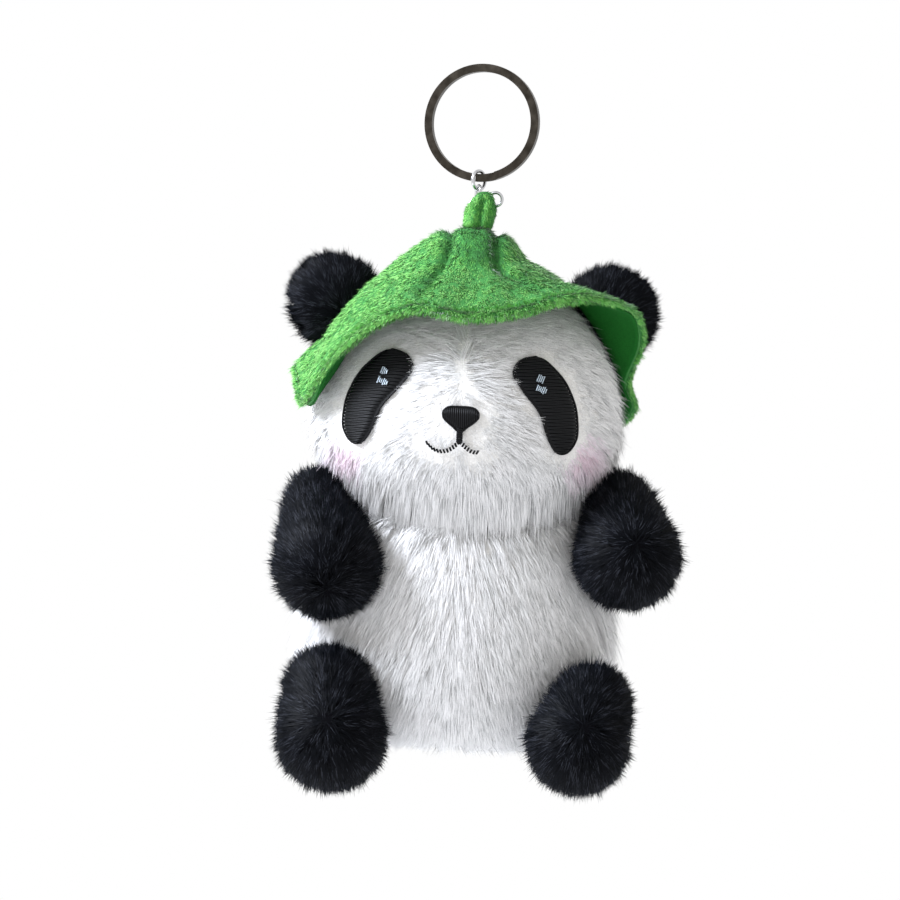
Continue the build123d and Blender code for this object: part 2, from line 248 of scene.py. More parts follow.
def leaf_at(angles, shares):
    """Points of the leaf, in millimetres. A share is 0 at the stem and 1 at the brim's edge."""
    sine, cosine = np.sin(angles), np.cos(angles)
    stem = np.stack((0.2 + 0 * sine, -0.8 + 0 * sine, -26.9 + 0 * sine), 1)
    crown = np.stack((-0.3 + 6.6 * sine, -0.6 - 5.4 * cosine, -27.9 + 0 * sine), 1)
    ridge = np.stack(
        (-1.2 + 17.2 * sine, hat_axis_y - 16.5 * cosine, -36.2 - 1.3 * sine - cosine), 1
    )
    edge = brim_at(angles)
    middle = (ridge + edge) / 2
    behind = (1 - cosine) / 2
    middle += np.stack((sine, -cosine, 0.5 + 0 * sine), 1) * (brim_bulge * behind)[:, None]
    weights = along(rib_knots, np.eye(len(rib_knots)), shares)
    rings = (stem, crown, ridge, middle, edge)
    return sum(weights[:, [k]] * ring for k, ring in enumerate(rings))


def read_vertices(mesh, what="co"):
    """The places (co) or normals (normal) of a mesh's vertices as rows of three numbers."""
    values = np.empty(len(mesh.vertices) * 3)
    mesh.vertices.foreach_get(what, values)
    return values.reshape(-1, 3)


def near_lines(places, lines):
    """How far each place is from the nearest of some polylines, in the same units."""
    best = np.full(len(places), 1e9)
    for line in lines:
        for start, end in zip(line, line[1:]):
            start, step = np.array(start, float), np.subtract(end, start).astype(float)
            share = np.clip(((places - start) @ step) / (step @ step), 0, 1)
            best = np.minimum(best, np.linalg.norm(places - start - share[:, None] * step, axis=1))
    return best


def bell(distance, width):
    """1 on a line, falling smoothly to nothing at about twice the width."""
    return np.exp(-(distance / width) ** 2)


# x and z of the darts and of the sewn veins, on the front of the leaf
leaf_darts = (((-6.0, -26.0), (-6.6, -32.0), (-7.8, -37.4), (-13.4, -43.8)),
              ((5.1, -27.5), (5.4, -36.0), (7.0, -37.5)))
leaf_veins = (((8.0, -38.5), (12.4, -40.4), (9.2, -42.3)), ((12.4, -40.4), (17.0, -42.6)))
head_clearance = 4.2
# the darts and veins lie in front of this depth
crease_back = 4.0
leaf_thickness, lining_depth, lining_thickness = 1.2, 1.25, 0.5

leaf_shape = bmesh.new()
rib_start = leaf_shape.verts.new((stem_foot_radius, 0, 0))
rib_end = leaf_shape.verts.new((1, 0, 0))
rib = leaf_shape.edges.new((rib_start, rib_end))
bmesh.ops.subdivide_edges(leaf_shape, edges=[rib], cuts=leaf_rows - 2)
bmesh.ops.spin(
    leaf_shape, geom=leaf_shape.verts[:] + leaf_shape.edges[:], cent=(0, 0, 0), axis=(0, 0, 1),
    angle=2 * math.pi, steps=leaf_spokes, use_merge=True,
)
bmesh.ops.remove_doubles(leaf_shape, verts=leaf_shape.verts, dist=1e-5)
flat_places = np.array([v.co[:2] for v in leaf_shape.verts])
rib_shares = np.hypot(flat_places[:, 0], flat_places[:, 1])
rib_angles = np.arctan2(flat_places[:, 0], -flat_places[:, 1])
leaf_points = leaf_at(rib_angles, rib_shares)

# the leaf lies on the head where it would sink into it
head_high = np.array(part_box("head_back_panel")[1]) / MM
face_low = np.array(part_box("face_right_panel")[0]) / MM
head_middle = np.array((0.0, (face_low[1] + head_high[1]) / 2, -77.0))
head_sizes = np.array((head_high[0], (head_high[1] - face_low[1]) / 2, head_high[2] + 77.0))
reach = np.linalg.norm((leaf_points - head_middle) / (head_sizes + head_clearance), axis=1)
lift = (leaf_points[:, 2] > head_middle[2]) & (reach < 1)
leaf_points[lift] = (
    head_middle + (leaf_points[lift] - head_middle) / reach[lift][:, None]
)
for vertex, place in zip(leaf_shape.verts, leaf_points):
    vertex.co = Vector(place) * MM
bmesh.ops.recalc_face_normals(leaf_shape, faces=leaf_shape.faces)
leaf_shape.normal_update()
front_places = leaf_points[:, [0, 2]]
on_front = leaf_points[:, 1] < crease_back
dart_off = np.where(on_front, near_lines(front_places, leaf_darts), 99)
vein_off = np.where(on_front, near_lines(front_places, leaf_veins), 99)
# millimetres outwards: sunken darts with a swell beside them, sunken veins, slow waves towards
# the brim and a lip along its edge
creases = (
    -1.5 * bell(dart_off, 1.2) + 0.3 * bell(dart_off - 3.4, 2.2)
    - 0.6 * bell(vein_off, 0.9)
    + 0.5 * np.sin(rib_angles * 7 + 1.0) * rib_shares ** 2
    + 0.35 * np.sin(rib_angles * 17 + rib_shares * 6) * rib_shares ** 2
    + 0.3 * bell(rib_shares - 0.97, 0.04)
)
for vertex, move in zip(leaf_shape.verts, creases):
    vertex.co += vertex.normal * float(move) * MM

ear_middles = {}
ear_sizes = np.array((11.6, 6.4, 11.6))
for side_name in ("right", "left"):
    low, high = (np.array(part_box(f"{side_name}_ear_front")[k]) / MM for k in (0, 1))
    ear_middles[side_name] = np.array(((low[0] + high[0]) / 2, high[1], (low[2] + high[2]) / 2))
leaf_holes = [
    face for face in leaf_shape.faces
    if any(
        np.linalg.norm((np.array(face.calc_center_median()) / MM - middle) / ear_sizes) < 1
        for middle in ear_middles.values()
    )
]
bmesh.ops.delete(leaf_shape, geom=leaf_holes, context="FACES")
for face in leaf_shape.faces:
    face.smooth = True
lining_shape = leaf_shape.copy()


def knit_cloth(name, dark, light, loop_mm, roughness=0.9, relief=0.4, **sockets):
    """Knitted cloth: rows of small loops with dark gaps between them."""
    material = plain_material(name, light, roughness, **sockets)
    place = add_node(material, "ShaderNodeTexCoord")
    loops = add_node(
        material, "ShaderNodeTexVoronoi", {"Scale": 1 / (loop_mm * MM), "Randomness": 0.6},
        {"Vector": (place, "Object")},
    )
    tone = add_node(
        material, "ShaderNodeValToRGB", (), {"Fac": (loops, "Distance")},
        {"Color": (shader_of(material), "Base Color")},
    )
    tone.color_ramp.elements[0].color = linear(light)
    tone.color_ramp.elements[1].color = linear(dark)
    add_node(
        material, "ShaderNodeBump", {"Strength": relief, "Distance": 0.2 * MM},
        {"Height": (loops, "Distance")}, {"Normal": (shader_of(material), "Normal")},
    )
    return material


# warp-knitted polyester: the backing is matt and dark between the roots of the pile
green_backing = knit_cloth("green knitted polyester backing", "#236128", "#357f34", 0.6)
leaf_cover = keep_mesh(leaf_shape, "leaf_cloth", green_backing)
cover_wall = leaf_cover.modifiers.new("wall", "SOLIDIFY")
cover_wall.thickness, cover_wall.offset = leaf_thickness * MM, -1
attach(leaf_cover, "head")
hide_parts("leaf_cover")

# brushed tricot: a smooth knit with a soft sheen, seen under the brim
leaf_tricot = knit_cloth(
    "brushed green tricot", "#0f4a17", "#1b6120", 0.45, 0.85, 0.15, Specular_IOR_Level=0.1
)
lining_shape.normal_update()
for vertex in lining_shape.verts:
    vertex.co -= vertex.normal * lining_depth * MM
leaf_lining = keep_mesh(lining_shape, "leaf_tricot_lining", leaf_tricot)
lining_wall = leaf_lining.modifiers.new("wall", "SOLIDIFY")
lining_wall.thickness, lining_wall.offset = lining_thickness * MM, -1
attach(leaf_lining, "head")
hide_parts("leaf_lining")


def curve_mesh(name, lines, radius, material, cyclic=False, resolution=2):
    """Thread or cord along lines of points in millimetres, as one mesh. A line's points may have
    a fourth number, a factor on the radius."""
    curve = bpy.data.curves.new(name, "CURVE")
    curve.dimensions = "3D"
    curve.bevel_depth = radius * MM
    curve.bevel_resolution = resolution
    curve.use_fill_caps = not cyclic
    for line in lines:
        spline = curve.splines.new("NURBS")
        spline.points.add(len(line) - 1)
        for point, place in zip(spline.points, line):
            point.co = (*(np.array(place[:3]) * MM), 1)
            point.radius = place[3] if len(place) > 3 else 1
        spline.use_cyclic_u = cyclic
        spline.use_endpoint_u = not cyclic
        spline.order_u = 3
        spline.resolution_u = 2
    holder = bpy.data.objects.new(name, curve)
    bpy.context.scene.collection.objects.link(holder)
    shape = bmesh.new()
    shape.from_mesh(bpy.data.meshes.new_from_object(
        holder.evaluated_get(bpy.context.evaluated_depsgraph_get())
    ))
    bpy.data.objects.remove(holder)
    for face in shape.faces:
        face.smooth = True
    return keep_mesh(shape, name, material)


hem_radius = 1.2
# factors on the hem's radius: all round the brim, and what the front adds to it
hem_thin, hem_swell = 0.5, 0.3
hem_angles = np.linspace(-math.pi, math.pi, 181)[:-1]
hem_line = brim_at(hem_angles)
hem_front = hem_thin + hem_swell * np.clip((-hem_line[:, 1] - 20) / 8, 0, 1)
hem_line[:, 2] -= hem_radius * (hem_front - hem_thin)
hem_line = np.concatenate((hem_line, hem_front[:, None]), 1)
leaf_hem = curve_mesh("leaf_hem", [hem_line], hem_radius, green_backing, cyclic=True)
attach(leaf_hem, "head")


def unit(vectors):
    """The vectors at length 1."""
    return vectors / np.maximum(np.linalg.norm(vectors, axis=1, keepdims=True), 1e-9)


def scatter(ground, count, rng):
    """Random points spread evenly over a mesh, with its smooth normals there."""
    mesh = ground.data
    mesh.calc_loop_triangles()
    corners, normals = read_vertices(mesh), read_vertices(mesh, "normal")
    triangles = np.empty(len(mesh.loop_triangles) * 3, dtype=np.int32)
    mesh.loop_triangles.foreach_get("vertices", triangles)
    a, b, c = triangles.reshape(-1, 3).T
    areas = np.linalg.norm(
        np.cross(corners[b] - corners[a], corners[c] - corners[a]), axis=1
    )
    chosen = rng.choice(len(areas), size=count, p=areas / areas.sum())
    u, v = rng.random(count), rng.random(count)
    over = u + v > 1
    u[over], v[over] = 1 - u[over], 1 - v[over]
    shares = ((1 - u - v)[:, None], u[:, None], v[:, None])
    picked = (a[chosen], b[chosen], c[chosen])
    return (
        sum(share * corners[k] for share, k in zip(shares, picked)),
        unit(sum(share * normals[k] for share, k in zip(shares, picked))),
    )


def grow_pile(name, ground, tufts, per_tuft, length, comb, tones, seed, spread=1.2, width=0.22,
              rise=24.0, rise_spread=7.0, gather=0.5, droop=0.25, stray=0.08, segments=2,
              keep=None, length_of=None, level_of=None, dye_of=None, sink=0.3, follow=0.6):
    """Pile as flat tapered fibres rooted on a cloth, in tufts whose tips lean together. It is
    worked out as arrays, because no operator makes tens of thousands of separate fibres.

    comb(points) is the way the pile is brushed. keep(points) is the share that grows there,
    length_of(points) a factor on the length, level_of(points) a shift of the tone, from dark to
    light, and dye_of(points, chance) the row of tones. Lengths are in millimetres."""
    rng = np.random.default_rng(seed)
    centres, facing = scatter(ground, tufts, rng)
    if keep is not None:
        staying = rng.random(tufts) < keep(centres)
        centres, facing = centres[staying], facing[staying]
    tufts = len(centres)
    brushed = comb(centres)
    brushed = unit(brushed - facing * (brushed * facing).sum(1, keepdims=True))
    turn = rng.normal(0, 0.2, tufts)[:, None]
    brushed = unit(brushed * np.cos(turn) + np.cross(facing, brushed) * np.sin(turn))
    tuft_rise = np.radians(rng.normal(rise, rise_spread, tufts))
    tuft_size = rng.normal(1.0, 0.12, tufts)
    if length_of is not None:
        tuft_size = tuft_size * length_of(centres)
    tuft_chance = rng.random(tufts)

    who = np.repeat(np.arange(tufts), per_tuft)
    count = len(who)
    n, t = facing[who], brushed[who]
    s = np.cross(n, t)
    angle = rng.random(count) * 2 * math.pi
    far = np.sqrt(rng.random(count)) * spread * MM
    offset = s * (np.cos(angle) * far)[:, None] + t * (np.sin(angle) * far)[:, None]
    up = np.clip(tuft_rise[who] + np.radians(rng.normal(0, 5, count)), 0.04, 1.5)
    size = length * MM * tuft_size[who] * rng.uniform(0.7, 1.12, count)
    loose = rng.random(count) < stray
    up = np.where(loose, up + 0.35, up)
    hold = np.where(loose, 0.1, gather)
    heading = unit(
        n * np.sin(up)[:, None] + t * np.cos(up)[:, None]
        + s * rng.normal(0, 0.08, count)[:, None]
    )
    down = np.array((0, 0, -1.0))
    guide = centres[who] - n * sink * MM
    spine = [guide + offset]
    for step in range(1, segments + 1):
        heading = unit(heading + t * 0.10 + down * droop / segments)
        guide = guide + heading * (size / segments)[:, None]
        spine.append(guide + offset * (1 - hold * step / segments)[:, None])
    twist = np.clip(rng.normal(0, 0.45, count), -1.1, 1.1)[:, None]
    flat = unit(np.cross(heading, n))
    flat = unit(flat * np.cos(twist) + np.cross(heading, flat) * np.sin(twist))
    half = width * MM / 2 * rng.uniform(0.75, 1.2, count)[:, None]

    rows = 2 * segments + 1
    places = np.empty((count, rows, 3))
    for step in range(segments):
        taper = 1 - 0.5 * step / segments
        places[:, 2 * step] = spine[step] - flat * half * taper
        places[:, 2 * step + 1] = spine[step] + flat * half * taper
    places[:, -1] = spine[segments]
    pattern = []
    for step in range(segments - 1):
        low = 2 * step
        pattern += [low, low + 1, low + 3, low + 2]
    pattern += [rows - 3, rows - 2, rows - 1]
    loops = (np.arange(count)[:, None] * rows + np.array(pattern)).ravel()
    sizes = np.tile([4] * (segments - 1) + [3], count)
    mesh = bpy.data.meshes.new(name)
    mesh.vertices.add(count * rows)
    mesh.vertices.foreach_set("co", places.ravel())
    mesh.loops.add(len(loops))
    mesh.loops.foreach_set("vertex_index", loops)
    mesh.polygons.add(len(sizes))
    mesh.polygons.foreach_set("loop_start", np.concatenate(([0], np.cumsum(sizes)[:-1])))

    levels = len(tones[0])
    chance = 0.55 * tuft_chance[who] + 0.45 * rng.random(count)
    level = chance * levels - 0.5
    if level_of is not None:
        level = level + level_of(centres)[who]
    dye = dye_of(centres[who], chance) if dye_of is not None else np.zeros(count, int)
    # painted shade and light along each fibre: its root segment takes a darker tone, its tip a lighter
    # one
    shift = np.linspace(-1.0, 0.6, segments)
    level = np.clip(np.round(level[:, None] + shift), 0, levels - 1).astype(int)
    mesh.polygons.foreach_set("material_index", (dye[:, None] * levels + level).ravel())
    mesh.polygons.foreach_set("use_smooth", np.ones(len(sizes), dtype=bool))
    for row in tones:
        for tone in row:
            mesh.materials.append(tone)
    mesh.update(calc_edges=True)
    own = unit(np.cross(heading, flat))
    own = own * np.sign((own * n).sum(1, keepdims=True))
    soft = unit(n * follow + own * (1 - follow) + heading * 0.15)
    mesh.normals_split_custom_set_from_vertices(np.repeat(soft, rows, axis=0).tolist())
    piece = bpy.data.objects.new(name, mesh)
    bpy.context.scene.collection.objects.link(piece)
    return piece


def dress(piece, body):
    """A pile or a thread rides on its cloth's body."""
    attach(piece, body)


def dyed_pile(name, colours, roughness=0.7, **sockets):
    """One row of tones of a dyed fibre, from its darkest to its lightest."""
    return [
        plain_material(f"{name} {step}", colour, roughness, **sockets)
        for step, colour in enumerate(colours)
    ]


# acrylic short pile dyed green, in tones from dark to light; on each fibre the darker root is painted
# shade and the brighter tip painted light, like velvet
leaf_tones = [dyed_pile(
    "green acrylic pile", ("#27682b", "#3f8e38", "#57a643", "#68b34e", "#85c467"), 0.6,
    Sheen_Weight=0.3, Specular_IOR_Level=0.3,
)]


def leaf_comb(points):
    """Down the leaf, from the stem to the brim."""
    x, y = points[:, 0], points[:, 1] - hat_axis_y * MM
    return np.stack((x, y, -0.7 * np.hypot(x, y)), 1)


def leaf_painted_shade(points):
    """Painted shade: a tone darker on the crown's front and in the darts and veins, and a little
    lighter elsewhere.
    """
    places = points / MM
    front = places[:, [0, 2]]
    off = near_lines(front, leaf_darts)
    veins = near_lines(front, leaf_veins)
    crown = bell(places[:, 0] - 0.5, 5.5) * np.clip((places[:, 2] + 37.5) / 3, 0, 1)
    crown = crown * (places[:, 1] < 0)
    return 0.4 - 2.8 * crown - 2.5 * bell(off, 1.2) - 2.5 * bell(veins, 0.6)


def hem_keep(points):
    """1 on the outer side of the hem, and all round it at the front."""
    places = points / MM
    edge = brim_at(np.arctan2(places[:, 0], hat_axis_y - places[:, 1]))
    beyond = np.hypot(places[:, 0], places[:, 1] - hat_axis_y) - np.hypot(
        edge[:, 0], edge[:, 1] - hat_axis_y
    )
    return ((beyond > -0.1) | (places[:, 2] > edge[:, 2] + 0.3) | (places[:, 1] < -26)).astype(float)


# the depth where the leaf's front pile ends and its coarser back pile starts
leaf_split = 2.0 * MM
# the leaf's piles take painted shade on the crown's front and in the darts and veins
leaf_front_pile = grow_pile(
    "leaf_front_pile", leaf_cover, 15000, 8, 2.0, leaf_comb, leaf_tones, 21, spread=1.0,
    width=0.2, rise=28, gather=0.3, level_of=leaf_painted_shade, follow=0.75,
    keep=lambda p: (p[:, 1] < leaf_split).astype(float),
)
leaf_back_pile = grow_pile(
    "leaf_back_pile", leaf_cover, 7800, 7, 2.2, leaf_comb, leaf_tones, 24, spread=0.9,
    width=0.28, rise=32, gather=0.35, level_of=leaf_painted_shade,
    keep=lambda p: (p[:, 1] >= leaf_split).astype(float),
)
hem_pile = grow_pile(
    "leaf_hem_pile", leaf_hem, 5000, 7, 1.8, leaf_comb, leaf_tones, 22, spread=0.7, width=0.2,
    rise=34, gather=0.3, level_of=lambda p: np.full(len(p), 0.3), stray=0.15,
    keep=hem_keep, length_of=lambda p: 0.65 + 0.35 * np.clip((-p[:, 1] / MM - 20) / 8, 0, 1),
)
for pile in (leaf_front_pile, leaf_back_pile, hem_pile):
    dress(pile, "head")

# ==== Stem ===================================================================================
# A strip of the leaf's plush folded over the jump ring, sewn shut down the middle of its front
# and stuffed. It is sewn into the top of the leaf.


def cloth_from(nodes, name, material, voxel, relax=4):
    """The outer skin of some CAD solids as one soft closed mesh."""
    shape = bmesh.new()
    for node in nodes:
        shape.from_mesh(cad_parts[node].data)
    bmesh.ops.remove_doubles(shape, verts=shape.verts, dist=0.002 * MM)
    rough = keep_mesh(shape, name + "_rough")
    remesh = rough.modifiers.new("remesh", "REMESH")
    remesh.mode, remesh.voxel_size = "VOXEL", voxel * MM
    rough.modifiers.new("smooth", "SMOOTH").iterations = relax
    shape = bmesh.new()
    shape.from_mesh(bpy.data.meshes.new_from_object(
        rough.evaluated_get(bpy.context.evaluated_depsgraph_get())
    ))
    bpy.data.objects.remove(rough)
    keep_largest_shell(shape)
    for face in shape.faces:
        face.smooth = True
    return keep_mesh(shape, name, material)


def keep_largest_shell(shape):
    """Deletes every shell of a bmesh but the largest."""
    unseen = set(shape.verts)
    shells = []
    while unseen:
        shell, rim = set(), [unseen.pop()]
        while rim:
            vertex = rim.pop()
            shell.add(vertex)
            for edge in vertex.link_edges:
                other = edge.other_vert(vertex)
                if other in unseen:
                    unseen.remove(other)
                    rim.append(other)
        shells.append(shell)
    for shell in sorted(shells, key=len)[:-1]:
        bmesh.ops.delete(shape, geom=list(shell), context="VERTS")


stem_cloth = cloth_from(("hat_stem",), "stem_cloth", green_backing, 0.5, 3)
# the seam down the front of the fold: its place, its slant, its depth and its width
fold_x, fold_slant, fold_depth, fold_width = 1.0, 0.12, 0.8, 0.7
for vertex in stem_cloth.data.vertices:
    off = vertex.co.x / MM - fold_x - fold_slant * (vertex.co.z / MM + 22)
    if vertex.co.y / MM < -2.5 and vertex.co.z / MM < -19:
        vertex.co.y += fold_depth * MM * math.exp(-(off / fold_width) ** 2)
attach(stem_cloth, "head")
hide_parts("hat_stem")
stem_pile = grow_pile(
    "stem_pile", stem_cloth, 1700, 7, 1.15,
    lambda p: np.stack((p[:, 0] - fold_x * MM, p[:, 1] * 0, -0.002 + 0 * p[:, 0]), 1),
    leaf_tones, 23, spread=0.5, width=0.2, rise=30, gather=0.3,
    # painted shade: darker towards +x, the side away from the lamp, and darker still along the seam of
    # the fold
    level_of=lambda p: 0.2 - 1.6 * np.clip((p[:, 0] / MM - fold_x - 0.8) / 1.5, 0, 1)
    - 2.0 * bell(p[:, 0] / MM - fold_x, 0.5),
)
dress(stem_pile, "head")

# ==== Head ===================================================================================
# Two face panels and a back panel of white plush, sewn right sides together and stuffed. The
# long silky pile parts on the centre seam, sweeps over the cheeks and hangs from the chin.
# knitted backing of the white plush: a soft off-white between the roots, without gloss
white_backing = knit_cloth("white knitted polyester backing", "#c9c7c4", "#dedcd8", 0.6)
# acrylic long pile, undyed: soft and silky, so it keeps a faint sheen and hardly any gloss
white_tones = dyed_pile(
    "white acrylic pile", ("#cbcbca", "#d8d8d7", "#e2e1e0", "#eae9e8"), Sheen_Weight=0.15
)
# the same pile sprayed with pink dye on the cheeks, thinner towards the rim of the blush
blush_tones = dyed_pile(
    "white pile tinted pink", ("#dccdd6", "#e5d8e0", "#eadfe5", "#efe5ea"), Sheen_Weight=0.15
)
rose_tones = dyed_pile(
    "white pile sprayed pink", ("#d8bfca", "#e2cad5", "#e7d2db", "#ebdae1"), Sheen_Weight=0.15
)
face_tones = [white_tones, blush_tones, rose_tones]

head_panels = ("face_right_panel", "face_left_panel", "head_back_panel")
head_cloth = cloth_from(head_panels + ("head_stuffing",), "head_cloth", white_backing, 1.2)
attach(head_cloth, "head")
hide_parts(*head_panels, "head_stuffing", "neck_stuffing")

face_middle, nose_level = -1.6, -75.0
blush_places = ((-29.6, -85.5), (29.5, -83.5))
blush_radius = 9.0
pile_under_leaf = 5.0
# depths where the pile of the face and of the chin end, and where that of the back starts
face_end, chin_end, back_start = 7.0, 6.0, 5.0


def smooth_loop(points, cyclic=True):
    """A smooth outline through a few points of x and z."""
    curve = bpy.data.curves.new("outline", "CURVE")
    spline = curve.splines.new("BEZIER")
    spline.bezier_points.add(len(points) - 1)
    for knot, (x, z) in zip(spline.bezier_points, points):
        knot.co = (x, z, 0)
        knot.handle_left_type = knot.handle_right_type = "AUTO"
    spline.use_cyclic_u = cyclic
    holder = bpy.data.objects.new("outline", curve)
    bpy.context.scene.collection.objects.link(holder)
    mesh = bpy.data.meshes.new_from_object(
        holder.evaluated_get(bpy.context.evaluated_depsgraph_get())
    )
    bpy.data.objects.remove(holder)
    return read_vertices(mesh)[:, :2]


eye_points = ((17.2, -59.2), (22.8, -62.3), (27.0, -68.2), (28.8, -75.0), (28.2, -80.2),
              (25.0, -82.6), (22.0, -79.5), (19.6, -73.3), (14.4, -66.8), (12.3, -62.5))
nose_points = ((-4.4, -73.6), (0, -72.2), (4.4, -73.6), (1.6, -77.2), (0, -78.2), (-1.6, -77.2))
mouth_points = {
    "right": ((-8.0, -81.2), (-6.0, -82.8), (-3.4, -83.1), (-1.2, -81.9), (0, -80.4)),
    "left": ((4.8, -83.0), (3.2, -82.9), (1.4, -81.8), (0, -80.4)),
}
sides = {"right": -1, "left": 1}
eye_outlines = {
    name: smooth_loop([(face_middle + side * x, z) for x, z in eye_points])
    for name, side in sides.items()
}
nose_outline = smooth_loop([(face_middle + x, z) for x, z in nose_points])
mouth_lines = {
    name: smooth_loop([(face_middle + x, z) for x, z in points], cyclic=False)
    for name, points in mouth_points.items()
}


def inside(places, outline):
    """Whether each place of x and z lies in a closed outline."""
    crossed = np.zeros(len(places), int)
    for (x0, z0), (x1, z1) in zip(outline, np.roll(outline, -1, axis=0)):
        between = (places[:, 1] > min(z0, z1)) & (places[:, 1] <= max(z0, z1))
        if z0 != z1:
            x = x0 + (places[:, 1] - z0) * (x1 - x0) / (z1 - z0)
            crossed += between & (places[:, 0] < x)
    return crossed % 2 == 1


embroidered_loops = [*eye_outlines.values(), nose_outline]
closed_loops = [list(loop) + [loop[0]] for loop in embroidered_loops]


def soften(values, low, high):
    """0 below low, 1 above high, and smooth between."""
    share = np.clip((values - low) / (high - low), 0, 1)
    return share * share * (3 - 2 * share)


def face_comb(points):
    """Outwards from the centre seam, level on the brow, and down from the mouth."""
    x, z = points[:, 0] / MM - face_middle, points[:, 2] / MM - nose_level
    side = np.tanh(x / 3)
    above, below = soften(z, 0, 16), soften(-z, 0, 20)
    return np.stack(
        (side * (1 - 0.75 * below), -0.1 + 0 * x, 0.3 * above - 1.1 * below - 0.2), 1
    )


def face_dye(points, chance):
    """0 for white, 1 and 2 for the two strengths of the blush."""
    dye = np.zeros(len(points), int)
    for x, z in blush_places:
        off = np.hypot(points[:, 0] / MM - x, points[:, 2] / MM - z) / blush_radius
        level = 2.6 * (1 - off) + (chance - 0.5) * 1.2
        dye = np.maximum(dye, np.where(points[:, 1] < 0, np.clip(level, 0, 2), 0).astype(int))
    return dye


leaf_tree = BVHTree.FromObject(leaf_lining, bpy.context.evaluated_depsgraph_get())


def room_under_leaf(points):
    """1 in the open, and less where the leaf presses the pile down."""
    room = np.ones(len(points))
    for index, point in enumerate(points):
        if point[2] < -85 * MM:
            continue
        away = Vector(point) - Vector(head_middle) * MM
        hit = leaf_tree.ray_cast(Vector(point), away.normalized(), 0.02)
        if hit[0] is not None:
            room[index] = min(1.0, hit[3] / (pile_under_leaf * MM))
    return room


def face_keep(side):
    """1 where pile grows on that half of the face: not under the embroidery."""
    def keep(points):
        places = points[:, [0, 2]] / MM
        bare = np.zeros(len(points), bool)
        for loop in embroidered_loops:
            bare |= inside(places, loop)
        bare |= near_lines(places, list(mouth_lines.values())) < 0.5
        half = (points[:, 0] * side >= 0) & (points[:, 1] < face_end * MM)
        return (half & ~(bare & (points[:, 1] < 0))).astype(float)
    return keep


def face_length(points):
    """Short beside the embroidery, where the pile is trimmed, and under the leaf."""
    places = points[:, [0, 2]] / MM
    off = near_lines(places, closed_loops + list(mouth_lines.values()))
    trimmed = np.where(points[:, 1] < 0, 0.22 + 0.78 * soften(off, 0, 7), 1)
    return trimmed * (0.25 + 0.75 * room_under_leaf(points))


# the levels that each band of the face's pile covers, and its seed
face_bands = {"brow": (-72.0, 0.0, 30), "cheek": (-200.0, -72.0, 35)}
for side_name, side in sides.items():
    for band_name, (band_low, band_high, band_seed) in face_bands.items():

        def band_keep(points, on_side=face_keep(side), low=band_low, high=band_high):
            return on_side(points) * ((points[:, 2] > low * MM) & (points[:, 2] <= high * MM))

        pile = grow_pile(
            f"face_{side_name}_{band_name}_pile", head_cloth, 15000, 12, 6.2, face_comb,
            face_tones, band_seed + side, keep=band_keep, rise=16, width=0.18,
            dye_of=face_dye, length_of=face_length, follow=0.8, gather=0.35,
        )
        dress(pile, "head")
chin_pile = grow_pile(
    "chin_pile", head_cloth, 20000, 10, 10.5, face_comb, [white_tones], 35, rise=32, droop=1.8,
    width=0.19, follow=0.75, gather=0.35,
    keep=lambda p: soften(-p[:, 2] / MM, 87, 95) * (p[:, 1] < chin_end * MM),
    length_of=lambda p: 0.65 + 0.7 * soften(-p[:, 2] / MM, 88, 96),
)
dress(chin_pile, "head")
pile = grow_pile(
    "head_back_pile", head_cloth, 6500, 10, 7.0,
    lambda p: np.stack((p[:, 0] * 8, 0 * p[:, 0], -1 + 0 * p[:, 0]), 1),
    [white_tones], 34, rise=18, length_of=lambda p: 0.3 + 0.7 * room_under_leaf(p),
    keep=lambda p: (p[:, 1] > back_start * MM).astype(float), follow=0.7, width=0.32,
)
dress(pile, "head")

# ==== Ears ===================================================================================
# Each ear is two discs of black long-pile plush, sewn round and stuffed, caught in the seam
# between the face and the back of the head. They stand out through slits in the leaf.
# knitted backing of the black plush: near black and almost without shine, so it doesn't show grey
black_backing = knit_cloth(
    "black knitted polyester backing", "#020204", "#050508", 0.6, Specular_IOR_Level=0.05
)
# acrylic long pile dyed black: deep black, and its lightest greyish tone, on a few tips, is a painted
# highlight
black_tones_and_glints = [dyed_pile(
    "black acrylic pile", ("#020306", "#030508", "#04060a", "#06080d", "#0b0d12", "#2a2c32"), 0.5,
    Specular_IOR_Level=0.06,
)]


def outside_leaf(points):
    """1 for the points that stand out of the leaf, and 0 for those that it covers."""
    out = np.ones(len(points))
    for index, point in enumerate(points):
        place, facing, *_ = leaf_tree.find_nearest(Vector(point))
        away = place - Vector(head_middle) * MM
        if facing.dot(away) < 0:
            facing = -facing
        out[index] = (Vector(point) - place).dot(facing) > -0.5 * MM
    return out


for side_name, side in sides.items():
    panels = (f"{side_name}_ear_front", f"{side_name}_ear_back")
    ear_cloth = cloth_from(panels, f"{side_name}_ear_cloth", black_backing, 0.9)
    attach(ear_cloth, "head")
    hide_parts(*panels)
    root = (ear_middles[side_name] + (-side * 3.0, 0, -3.0)) * MM
    pile = grow_pile(
        f"{side_name}_ear_pile", ear_cloth, 2200, 12, 4.2, lambda p, root=root: p - root,
        black_tones_and_glints, 43 + side, rise=33, rise_spread=10, gather=0.6, droop=0.0, width=0.2,
        keep=outside_leaf,
    )
    dress(pile, "head")

